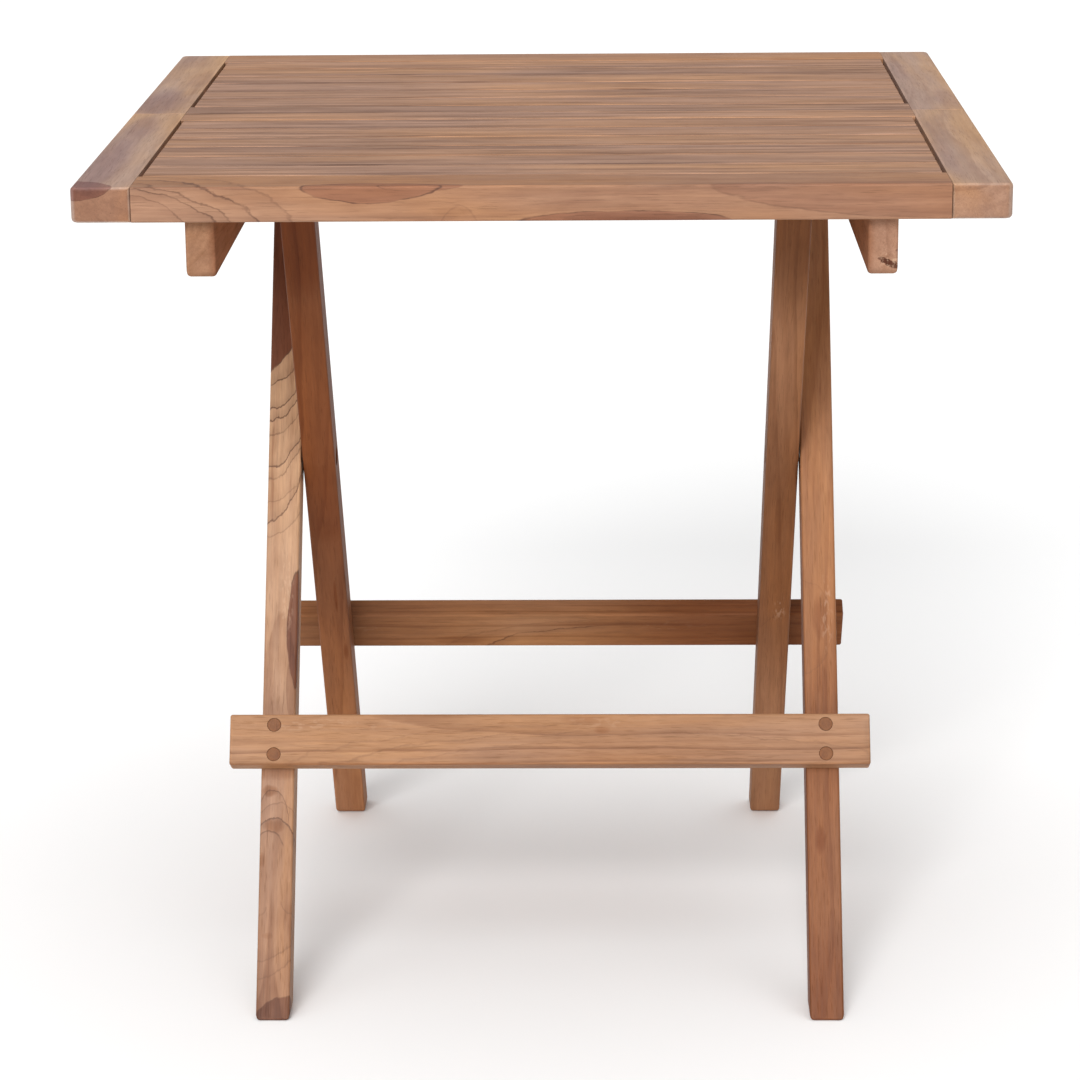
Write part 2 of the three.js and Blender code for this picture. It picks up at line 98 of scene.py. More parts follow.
def make_camera():
    data = bpy.data.cameras.new("camera")
    data.lens = FOCAL_LENGTH
    data.sensor_width = SENSOR_WIDTH
    data.clip_end = VIEW_DEPTH
    camera = bpy.data.objects.new("camera", data)
    COLLECTION.objects.link(camera)
    turn = Matrix.Rotation(math.radians(CAMERA_LEFT), 4, "Z")
    tilt = Matrix.Rotation(math.radians(90.0 - CAMERA_DOWN), 4, "X")
    roll = Matrix.Rotation(math.radians(CAMERA_ROLL), 4, "Z")
    camera.matrix_world = Matrix.Translation(CAMERA_PLACE) @ turn @ tilt @ roll
    SCENE.camera = camera


def floor_material():
    material = bpy.data.materials.new("pale_floor")
    material.use_nodes = True
    shader = material.node_tree.nodes["Principled BSDF"]
    shader.inputs["Base Color"].default_value = FLOOR_COLOUR
    shader.inputs["Roughness"].default_value = FLOOR_ROUGHNESS
    shader.inputs["Specular IOR Level"].default_value = FLOOR_GLOSS
    return material


def make_floor():
    half = FLOOR_SIZE / 2
    corners = [(-half, -half, 0), (half, -half, 0), (half, half, 0), (-half, half, 0)]
    mesh = bpy.data.meshes.new("floor")
    mesh.from_pydata(corners, [], [(0, 1, 2, 3)])
    mesh.materials.append(floor_material())
    floor = bpy.data.objects.new("floor", mesh)
    COLLECTION.objects.link(floor)


def make_sky():
    world = bpy.data.worlds.new("studio")
    world.use_nodes = True
    background = world.node_tree.nodes["Background"]
    background.inputs["Color"].default_value = WHITE
    background.inputs["Strength"].default_value = SKY_STRENGTH
    SCENE.world = world
    SCENE.view_settings.view_transform = "Standard"


def make_lights():
    for name, strength, softness, above, left in LIGHTS:
        data = bpy.data.lights.new(name, "SUN")
        data.energy = strength
        data.angle = math.radians(softness)
        light = bpy.data.objects.new(name, data)
        COLLECTION.objects.link(light)
        light.rotation_euler = (math.radians(90.0 - above), 0.0, math.radians(-left))


# ---- Shader nodes -------------------------------------------------------------------------

class Tree:
    """Short calls for adding and joining shader nodes in a node tree."""

    def __init__(self, tree):
        self.tree = tree

    def node(self, kind, inputs=(), **settings):
        made = self.tree.nodes.new(kind)
        for key, value in settings.items():
            setattr(made, key, value)
        for key, value in dict(inputs).items():
            self.feed(made.inputs[key], value)
        return made

    def feed(self, socket, value):
        if isinstance(value, bpy.types.NodeSocket):
            self.tree.links.new(value, socket)
        else:
            socket.default_value = value

    def maths(self, operation, first, second=0.0, clamp=False):
        inputs = {0: first, 1: second}
        return self.node("ShaderNodeMath", inputs, operation=operation, use_clamp=clamp).outputs[0]

    def times(self, first, second):
        return self.maths("MULTIPLY", first, second)

    def less(self, value):
        """1 minus the value."""
        return self.maths("SUBTRACT", 1.0, value)

    def total(self, *values):
        result = values[0]
        for value in values[1:]:
            result = self.maths("ADD", result, value)
        return result

    def ramp(self, value, low, high):
        """0 below low and 1 above high, smooth in between."""
        inputs = {"Value": value, "From Min": low, "From Max": high}
        return self.node("ShaderNodeMapRange", inputs, interpolation_type="SMOOTHSTEP").outputs["Result"]

    def span(self, value, low, high):
        """Maps 0 to 1 onto low to high."""
        inputs = {"Value": value, "To Min": low, "To Max": high}
        return self.node("ShaderNodeMapRange", inputs).outputs["Result"]

    def centred(self, value, amount):
        """Noise of 0 to 1 turned into a change of plus or minus half the amount."""
        return self.times(self.maths("SUBTRACT", value, 0.5), amount)

    def vector(self, operation, first, second=(0.0, 0.0, 0.0)):
        made = self.node("ShaderNodeVectorMath", {0: first, 1: second}, operation=operation)
        return made.outputs["Value" if operation in ("LENGTH", "DOT_PRODUCT") else "Vector"]

    def split(self, vector):
        return self.node("ShaderNodeSeparateXYZ", {"Vector": vector}).outputs

    def join(self, x, y, z):
        return self.node("ShaderNodeCombineXYZ", {"X": x, "Y": y, "Z": z}).outputs["Vector"]

    def noise(self, place, pattern, seed, colour=False):
        """Noise of a place. A pattern is its density along and across the grain, detail and roughness."""
        along, across, detail, roughness = pattern
        scaled = self.vector("MULTIPLY", place, (along, across, across))
        inputs = {"Vector": scaled, "W": seed, "Scale": 1.0, "Detail": detail, "Roughness": roughness}
        made = self.node("ShaderNodeTexNoise", inputs, noise_dimensions="4D")
        return made.outputs["Color" if colour else "Fac"]

    def spots(self, place, pattern, edges, seed):
        """A mask of where a noise is high: 0 below the first of two edges and 1 above the second."""
        return self.ramp(self.noise(place, pattern, seed), *edges)

    def mix(self, amount, first, second, blend="MIX"):
        made = self.node("ShaderNodeMix", data_type="RGBA", blend_type=blend)
        self.feed(made.inputs["Factor"], amount)
        self.feed(made.inputs[6], first)
        self.feed(made.inputs[7], second)
        return made.outputs[2]

    def toned(self, amount, colour, tone):
        """The colour, multiplied by the tone where the amount is 1."""
        return self.mix(amount, colour, self.mix(1.0, colour, tone, "MULTIPLY"))


# ---- Wood ---------------------------------------------------------------------------------

# Noise patterns: density along the grain and across it, both per metre, then detail and roughness.
BEND_NOISE = (2.0, 9.0, 2.5, 0.5)
STREAK_NOISE = (6.5, 130.0, 4.0, 0.70)
BROAD_NOISE = (4.0, 48.0, 2.0, 0.5)
MOTTLE_NOISE = (30.0, 75.0, 3.0, 0.6)
FIBRE_NOISE = (14.0, 650.0, 2.0, 0.6)
CLOUD_NOISE = (3.5, 22.0, 3.0, 0.5)
DASH_NOISE = (11.0, 210.0, 2.0, 0.5)
PORE_NOISE = (55.0, 1500.0, 1.0, 0.5)
WEAR_NOISE = (30.0, 60.0, 2.0, 0.5)
DIRT_NOISE = (5.0, 20.0, 2.0, 0.5)
MARK_NOISE = (26.0, 100.0, 4.0, 0.6)
RIM_NOISE = (45.0, 90.0, 2.0, 0.5)
LINE_NOISE = (38.0, 70.0, 5.0, 0.62)
GAP_NOISE = (40.0, 60.0, 2.0, 0.5)
FLECK_NOISE = (160.0, 420.0, 2.0, 0.5)
# Where some of those noises begin to show and where they show in full.
CLOUD_EDGES = (0.33, 0.67)
DASH_EDGES = (0.60, 0.72)
PORE_EDGES = (0.58, 0.70)
WEAR_EDGES = (0.35, 0.65)
DIRT_EDGES = (0.42, 0.62)
RIM_EDGES = (0.40, 0.62)
GAP_EDGES = (0.28, 0.50)
FLECK_EDGES = (0.50, 0.66)
# Bands of years: density along the board per metre, density across the years, and the noise of that.
BANDS_ALONG = 3.0
BANDS_PER_YEAR = 0.4
BAND_NOISE = (1.0, 1.0, 3.0, 0.6)

# Tone: 0 is a board's light colour and 1 its deep one. Shares are of its streak depth or ring depth.
MIDDLE_TONE = 0.46
BROAD_SHARE = 0.25
DASH_SHARE = 0.22
BAND_SHARE = 1.6
WARM_TINT = (1.08, 0.99, 0.80, 1.0)
COOL_TINT = (0.93, 0.98, 1.16, 1.0)
BORDER_TONE = (0.085, 0.032, 0.018, 1.0)
BORDER_STRENGTH = 0.85
NICK_TONE = (0.60, 0.40, 0.27, 1.0)
NICK_STRENGTH = 0.8

# A year of growth: where its late wood rises and where it ends, and how many pores late wood keeps.
LATE_RISE = (0.35, 0.93)
LATE_END = (0.93, 1.0)
LATE_PORES = 0.45
# Brightness of fibres from low to high, and of full dirt, pores and wear.
FIBRE_SHADE = (0.80, 1.20)
DIRT_SHADE = 0.60
PORE_SHADE = 0.80
WEAR_SHADE = 1.20
WEAR_REACH = (0.6 * MM, 3.2 * MM)
DIRT_REACH = (1.5 * MM, 7.0 * MM)
# Roughness of fibres from low to high, and what pores and wear add to it.
FIBRE_ROUGHNESS = (0.46, 0.62)
PORE_ROUGHNESS = 0.15
WEAR_ROUGHNESS = 0.08
# Shares of the bump's height.
FIBRE_HEIGHT = 0.5
STREAK_HEIGHT = 0.5
RING_HEIGHT = 0.3
PORE_HEIGHT = -0.8
BUMP_STRENGTH = 0.4
BUMP_HEIGHT = 0.4 * MM
END_GRAIN_EDGES = (0.75, 0.97)

# Marks. An egg's distance is 0 at its middle and 1 at its outline.
MARK_WAVER = 9.0             # millimetres
MOST_WAVER = 0.55            # of an egg's size
SOFT_EDGES = (0.35, 1.1)     # distances at which a soft mark begins and stops fading
PATCH_BLUR = 0.8             # millimetres
MOST_BLUR = 0.05             # of an egg's size
RIM_GAP = 0.25               # what is left of a patch's rim in its gaps
LINE_WAVER = 14.0            # millimetres
LINE_WIDTH = 1.5             # millimetres
LINE_SHADE_WIDTH = 6.0       # line widths
LINE_SHADE_DEPTH = 0.25
LINE_FALL_WIDTH = 0.7        # line widths
LINE_START = 0.25            # of an egg's size along the grain, over which its line fades in
LINE_GAP = 0.5               # what is left of a line in its gaps

# Chance differences between boards.
SEED_RANGE = 60.0
PITH_BELOW_RANGE = (0.7, 1.5)
RINGS_RANGE = (0.85, 1.2)

GROUP_INPUTS = (
    ("Grain", "NodeSocketVector"),
    ("Seed", "NodeSocketFloat"),
    ("Half", "NodeSocketVector"),
    ("Pith", "NodeSocketVector"),
    ("Bend", "NodeSocketFloat"),
    ("Rings", "NodeSocketFloat"),
    ("Ring depth", "NodeSocketFloat"),
    ("Streak depth", "NodeSocketFloat"),
    ("Tint depth", "NodeSocketFloat"),
    ("Mottle depth", "NodeSocketFloat"),
    ("Grime", "NodeSocketFloat"),
    ("Nicks", "NodeSocketFloat"),
    ("Heart", "NodeSocketFloat"),
    ("Lines", "NodeSocketFloat"),
    ("Stain", "NodeSocketFloat"),
    ("Light", "NodeSocketColor"),
    ("Deep", "NodeSocketColor"),
    ("Heart tone", "NodeSocketColor"),
    ("Stain tone", "NodeSocketColor"),
)
GROUP_OUTPUTS = (
    ("Color", "NodeSocketColor"),
    ("Roughness", "NodeSocketFloat"),
    ("Height", "NodeSocketFloat"),
)


def growth_rings(t, given, bent):
    """Late wood about the pith line, the same with a strength for each year, and slow bands of years."""
    across = t.vector("MULTIPLY", t.vector("SUBTRACT", bent, given["Pith"]), (0.0, 1.0, 1.0))
    years = t.times(t.vector("LENGTH", across), given["Rings"])
    season = t.maths("FRACT", years)
    late = t.times(t.ramp(season, *LATE_RISE), t.less(t.ramp(season, *LATE_END)))
    year = t.maths("FLOOR", years)
    strength = t.node("ShaderNodeTexWhiteNoise", {"W": year}, noise_dimensions="1D").outputs["Value"]
    rings = t.times(late, t.times(strength, strength))
    along = t.split(given["Grain"])[0]
    band_place = t.join(t.times(along, BANDS_ALONG), t.times(years, BANDS_PER_YEAR), 0.0)
    bands = t.noise(band_place, BAND_NOISE, given["Seed"])
    return late, rings, bands


def wood_colour(t, given, bent, streak, rings, bands):
    """The wood between its light and deep colours, tinted in clouds, then darkened by stains and painted
    shade, and marked.
    """
    seed = given["Seed"]
    broad = t.noise(bent, BROAD_NOISE, seed)
    mottle = t.noise(given["Grain"], MOTTLE_NOISE, seed)
    dashes = t.spots(bent, DASH_NOISE, DASH_EDGES, seed)
    tone = t.total(
        MIDDLE_TONE,
        t.centred(streak, given["Streak depth"]),
        t.centred(broad, t.times(given["Streak depth"], BROAD_SHARE)),
        t.centred(mottle, given["Mottle depth"]),
        t.centred(bands, t.times(given["Ring depth"], BAND_SHARE)),
        t.times(rings, given["Ring depth"]),
        t.times(dashes, t.times(given["Streak depth"], DASH_SHARE)),
    )
    tone = t.node("ShaderNodeClamp", {"Value": tone}).outputs[0]
    colour = t.mix(tone, given["Light"], given["Deep"])
    cloud = t.spots(bent, CLOUD_NOISE, CLOUD_EDGES, seed)
    colour = t.toned(given["Tint depth"], colour, t.mix(cloud, WARM_TINT, COOL_TINT))
    # Soft darker regions: real stains on some boards, painted shade and painted shadow on others.
    colour = t.toned(given["Stain"], colour, given["Stain tone"])
    colour = t.toned(given["Heart"], colour, given["Heart tone"])
    borders = t.maths("MULTIPLY", given["Lines"], BORDER_STRENGTH, clamp=True)
    nicks = t.maths("MULTIPLY", given["Nicks"], NICK_STRENGTH, clamp=True)
    return t.mix(nicks, t.mix(borders, colour, BORDER_TONE), NICK_TONE)


def arris_wear(t, given):
    """Masks of arrises that hands and sandpaper have rubbed, and of dirt that gathers beside them."""
    grain = given["Grain"]
    seed = given["Seed"]
    # Of the distances to a board's three pairs of sides, the middle one is small only near an arris.
    inside = t.split(t.vector("SUBTRACT", given["Half"], t.vector("ABSOLUTE", grain)))
    nearer = t.maths("MINIMUM", inside[0], inside[1])
    farther = t.maths("MAXIMUM", inside[0], inside[1])
    from_arris = t.maths("MAXIMUM", nearer, t.maths("MINIMUM", farther, inside[2]))
    worn = t.spots(grain, WEAR_NOISE, WEAR_EDGES, seed)
    worn = t.times(t.less(t.ramp(from_arris, *WEAR_REACH)), worn)
    dirty = t.spots(grain, DIRT_NOISE, DIRT_EDGES, seed)
    dirty = t.times(t.less(t.ramp(from_arris, *DIRT_REACH)), dirty)
    return worn, t.times(dirty, given["Grime"])


def teak_group():
    """The teak that all boards share, as a node group: rings, streaks, fibres, pores and wear."""
    group = bpy.data.node_groups.new("teak", "ShaderNodeTree")
    for name, kind in GROUP_INPUTS:
        group.interface.new_socket(name, in_out="INPUT", socket_type=kind)
    for name, kind in GROUP_OUTPUTS:
        group.interface.new_socket(name, in_out="OUTPUT", socket_type=kind)
    t = Tree(group)
    given = t.node("NodeGroupInput").outputs
    grain = given["Grain"]
    seed = given["Seed"]

    bend = t.vector("SUBTRACT", t.noise(grain, BEND_NOISE, seed, colour=True), (0.5, 0.5, 0.5))
    bend = t.vector("MULTIPLY", bend, t.join(0.0, given["Bend"], given["Bend"]))
    bent = t.vector("ADD", grain, bend)
    late, rings, bands = growth_rings(t, given, bent)
    streak = t.noise(bent, STREAK_NOISE, seed)
    fibre = t.noise(grain, FIBRE_NOISE, seed)
    pores = t.times(t.spots(grain, PORE_NOISE, PORE_EDGES, seed), t.span(late, 1.0, LATE_PORES))
    worn, dirty = arris_wear(t, given)

    shade = t.span(fibre, *FIBRE_SHADE)
    shade = t.times(shade, t.span(dirty, 1.0, DIRT_SHADE))
    shade = t.times(shade, t.span(pores, 1.0, PORE_SHADE))
    shade = t.times(shade, t.span(worn, 1.0, WEAR_SHADE))
    colour = wood_colour(t, given, bent, streak, rings, bands)
    colour = t.vector("MULTIPLY", colour, t.join(shade, shade, shade))
    roughness = t.total(
        t.span(fibre, *FIBRE_ROUGHNESS),
        t.times(pores, PORE_ROUGHNESS),
        t.times(worn, WEAR_ROUGHNESS),
    )
    height = t.total(
        t.times(fibre, FIBRE_HEIGHT),
        t.times(streak, STREAK_HEIGHT),
        t.times(rings, RING_HEIGHT),
        t.times(pores, PORE_HEIGHT),
    )
    out = t.node("NodeGroupOutput")
    t.feed(out.inputs["Color"], colour)
    t.feed(out.inputs["Roughness"], roughness)
    t.feed(out.inputs["Height"], height)
    return group


TEAK = teak_group()


def egg_distance(t, place, centre, size):
    """0 at the centre of an egg-shaped region and 1 at its outline. Centre and size are in millimetres."""
    offset = t.vector("SUBTRACT", place, Vector(centre) * MM)
    return t.vector("LENGTH", t.vector("DIVIDE", offset, Vector(size) * MM))


def middle_size(size):
    return sorted(abs(length) for length in size)[1]


def ragged_distance(t, place, rough, centre, size, waver):
    """An egg's distance with a ragged outline, which strays by up to half of waver millimetres."""
    amount = min(MOST_WAVER, waver / middle_size(size))
    return t.total(egg_distance(t, place, centre, size), t.centred(rough, amount))


def heart_patches(t, place, seed, patches, waver):
    """Masks of darker heartwood and of its dark rim. A patch has a centre, a size and a strength."""
    heart = 0.0
    lines = 0.0
    rough = t.noise(place, MARK_NOISE, seed)
    broken = t.spots(place, RIM_NOISE, RIM_EDGES, seed)
    for centre, size, strength in patches:
        distance = ragged_distance(t, place, rough, centre, size, waver)
        blur = min(MOST_BLUR, PATCH_BLUR / middle_size(size))
        mask = t.less(t.ramp(distance, 1.0 - blur, 1.0 + blur))
        rim = t.times(mask, t.less(mask))      # at most a quarter, halfway up the blur
        rim = t.times(t.times(rim, 4.0 * strength), t.span(broken, RIM_GAP, 1.0))
        heart = t.maths("MAXIMUM", heart, t.times(mask, strength))
        lines = t.maths("MAXIMUM", lines, rim)
    return heart, lines


def growth_lines(t, place, seed, outlines):
    """A mask of thin jagged lines, with a soft shade on one side, along the lower half of egg outlines.

    An outline is the centre and size of its egg and a strength. The lower half is where the place along
    the grain is below the centre, or above it if the size along the grain is negative.
    """
    lines = 0.0
    rough = t.noise(place, LINE_NOISE, seed)
    patchy = t.spots(place, GAP_NOISE, GAP_EDGES, seed)
    along = t.split(place)[0]
    for centre, size, strength in outlines:
        distance = ragged_distance(t, place, rough, centre, size, LINE_WAVER)
        width = LINE_WIDTH / middle_size(size)
        rise = t.ramp(distance, 1.0 - width, 1.0)
        shade = t.times(t.ramp(distance, 1.0 - LINE_SHADE_WIDTH * width, 1.0), LINE_SHADE_DEPTH)
        fall = t.less(t.ramp(distance, 1.0, 1.0 + LINE_FALL_WIDTH * width))
        line = t.times(t.maths("MAXIMUM", rise, shade), fall)
        below = t.maths("DIVIDE", t.maths("SUBTRACT", centre[0] * MM, along), size[0] * MM)
        line = t.times(line, t.ramp(below, 0.0, LINE_START))
        lines = t.maths("MAXIMUM", lines, t.times(line, strength))
    return t.times(lines, t.span(patchy, LINE_GAP, 1.0))


def soft_marks(t, place, seed, regions):
    """A mask of soft regions. A region has a centre, a size and a strength."""
    result = 0.0
    rough = t.noise(place, MARK_NOISE, seed)
    for centre, size, strength in regions:
        distance = ragged_distance(t, place, rough, centre, size, MARK_WAVER)
        mask = t.less(t.ramp(distance, *SOFT_EDGES))
        result = t.maths("MAXIMUM", result, t.times(mask, strength))
    return result


def flecks(t, place, seed, regions):
    """A mask of small torn flecks inside each region."""
    torn = t.spots(place, FLECK_NOISE, FLECK_EDGES, seed)
    return t.times(soft_marks(t, place, seed, regions), torn)


def grain_axes(along, face_normal):
    """The turn from object axes to the board's own: X along the grain, Z out of its broad face."""
    outward = Vector(face_normal).normalized()
    run = Vector(along).normalized()
    return Matrix((run, outward.cross(run), outward))


def board_box(piece, turn):
    """The lowest and the highest corner of a piece in its board's own axes."""
    corners = [turn @ vertex.co for vertex in piece.data.vertices]
    low = Vector([min(corner[axis] for corner in corners) for axis in range(3)])
    high = Vector([max(corner[axis] for corner in corners) for axis in range(3)])
    return low, high


def group_values(t, grain, half, look, rng):
    """What one board feeds to the teak group: its look, its marks and its chance differences."""
    number = rng.uniform(0.0, SEED_RANGE)
    lift = 1.0 + rng.uniform(-look["spread"], look["spread"])
    below = rng.choice((-1.0, 1.0)) * look["pith_below"] * rng.uniform(*PITH_BELOW_RANGE)
    heart, rims = heart_patches(t, grain, number, look["patches"], look["waver"])
    lines = growth_lines(t, grain, number, look["outlines"])
    return {
        "Grain": grain,
        "Seed": number,
        "Half": half,
        "Pith": (0.0, rng.uniform(-0.5, 0.5) * look["pith_across"], below),
        "Bend": look["bend"],
        "Rings": look["rings"] * rng.uniform(*RINGS_RANGE),
        "Ring depth": look["ring_depth"],
        "Streak depth": look["streak_depth"],
        "Tint depth": look["tint_depth"],
        "Mottle depth": look["mottle_depth"],
        "Grime": look["grime"],
        "Nicks": flecks(t, grain, number, look["nicks"]),
        "Heart": heart,
        "Lines": t.maths("MAXIMUM", rims, lines),
        "Stain": soft_marks(t, grain, number, look["stains"]),
        "Light": [channel * lift for channel in look["light"]] + [1.0],
        "Deep": [channel * lift for channel in look["deep"]] + [1.0],
        "Heart tone": look["heart"] + (1.0,),
        "Stain tone": look["stain"] + (1.0,),
    }


def teak_material(piece, along, face_normal, look, seed):
    """One board's own teak. look holds its colours, its pattern and any marks on it."""
    material = bpy.data.materials.new(piece.name + "_teak")
    material.use_nodes = True
    t = Tree(material.node_tree)
    shader = material.node_tree.nodes["Principled BSDF"]
    turn = grain_axes(along, face_normal)
    low, high = board_box(piece, turn)
    places = t.node("ShaderNodeTexCoord").outputs
    settings = {"Vector": places["Object"], "Location": -(low + high) / 2, "Rotation": turn.to_euler()}
    grain = t.node("ShaderNodeMapping", settings).outputs["Vector"]
    teak = t.node("ShaderNodeGroup", node_tree=TEAK)
    values = group_values(t, grain, (high - low) / 2, look, random.Random(seed))
    for key, value in values.items():
        t.feed(teak.inputs[key], value)

    # The sawn ends drink more oil and look a little darker.
    endwise = t.maths("ABSOLUTE", t.vector("DOT_PRODUCT", places["Normal"], turn[0]))
    end_shade = t.mix(t.ramp(endwise, *END_GRAIN_EDGES), WHITE, look["end"] + (1.0,))
    colour = t.mix(1.0, teak.outputs["Color"], end_shade, "MULTIPLY")
    inputs = {"Strength": BUMP_STRENGTH, "Distance": BUMP_HEIGHT, "Height": teak.outputs["Height"]}
    bump = t.node("ShaderNodeBump", inputs)
    t.feed(shader.inputs["Base Color"], colour)
    t.feed(shader.inputs["Roughness"], teak.outputs["Roughness"])
    t.feed(shader.inputs["Normal"], bump.outputs["Normal"])
    t.feed(shader.inputs["Specular IOR Level"], look["gloss"])
    return material


# ---- The look of each kind of board -------------------------------------------------------

# Colours are linear red, green and blue. rings is growth rings per metre, pith_across and pith_below
# say how far off the pith line lies, in metres, and waver is how ragged dark patches are, in millimetres.
SLAT_LOOK = {
    "light": (0.465, 0.262, 0.162),
    "deep": (0.185, 0.088, 0.048),
    "heart": (0.70, 0.60, 0.60),
    "stain": (0.62, 0.52, 0.46),
    "end": (0.80, 0.74, 0.70),
    "gloss": 0.3,
    "rings": 230.0,
    "ring_depth": 0.35,
    "streak_depth": 2.3,
    "tint_depth": 0.7,
    "mottle_depth": 0.0,
    "grime": 0.8,
    "waver": 7.0,
    "bend": 0.010,
    "pith_across": 0.10,
    "pith_below": 0.05,
    "spread": 0.07,
    "patches": (),
    "outlines": (),
    "stains": (),
    "nicks": (),
}
END_LOOK = dict(
    SLAT_LOOK,
    light=(0.50, 0.325, 0.215),
    deep=(0.27, 0.150, 0.095),
    heart=(0.62, 0.45, 0.46),
    stain=(0.80, 0.78, 0.88),
    end=(0.86, 0.72, 0.60),
    rings=150.0,
    ring_depth=0.3,
    streak_depth=0.9,
    tint_depth=1.0,
    mottle_depth=0.5,
    grime=0.2,
    bend=0.05,
    spread=0.03,
)
RAIL_LOOK = dict(
    SLAT_LOOK,
    light=(0.450, 0.242, 0.130),
    deep=(0.242, 0.110, 0.057),
    heart=(0.77, 0.66, 0.67),
    rings=170.0,
    streak_depth=1.0,
    mottle_depth=0.6,
    grime=0.2,
    bend=0.05,
    spread=0.0,
)
CLEAT_LOOK = dict(
    RAIL_LOOK,
    light=(0.39, 0.212, 0.127),
    deep=(0.20, 0.095, 0.052),
    heart=(0.30, 0.22, 0.22),
    # Tone of the painted shade on the cleats' inner sides.
    stain=(0.86, 0.62, 0.50),
    end=(1.0, 1.0, 1.0),
    gloss=0.0,
    tint_depth=0.3,
)
OUTER_LEG_LOOK = dict(
    SLAT_LOOK,
    light=(0.43, 0.205, 0.095),
    deep=(0.21, 0.080, 0.033),
    gloss=0.25,
    ring_depth=0.4,
    streak_depth=1.1,
    mottle_depth=0.5,
    grime=0.3,
    bend=0.025,
    spread=0.0,
)
INNER_LEG_LOOK = dict(
    OUTER_LEG_LOOK,
    light=(0.47, 0.220, 0.100),
    deep=(0.25, 0.096, 0.040),
    # Tone of the painted shade on the inner legs, under the top and about the crossing, and of their dark
    # streaks.
    stain=(0.37, 0.190, 0.080),
    gloss=0.10,
    streak_depth=0.8,
)
FRONT_STRETCHER_LOOK = dict(
    OUTER_LEG_LOOK,
    light=(0.455, 0.252, 0.137),
    deep=(0.238, 0.112, 0.055),
    stain=(0.80, 0.68, 0.56),
    rings=260.0,
    ring_depth=0.55,
    streak_depth=0.9,
    bend=0.032,
)
BACK_STRETCHER_LOOK = dict(
    INNER_LEG_LOOK,
    light=(0.43, 0.216, 0.098),
    deep=(0.225, 0.095, 0.041),
    stain=(0.50, 0.38, 0.33),
)
PLUG_LOOK = dict(
    OUTER_LEG_LOOK,
    light=(0.225, 0.092, 0.034),
    deep=(0.145, 0.052, 0.020),
    end=(1.0, 1.0, 1.0),
    rings=500.0,
    grime=0.0,
)

LEG_SIDE = 14                # millimetres from a leg's middle to its side
LEG_FRONT = 15               # millimetres from a leg's middle to its front


def rising_lines(starts, radius, width, strength):
    """Growth lines that start square to the left edge of a leg's front and curve up to its right edge."""
    size = (radius, width, 60)
    return tuple(((start + radius, LEG_SIDE, LEG_FRONT), size, strength) for start in starts)
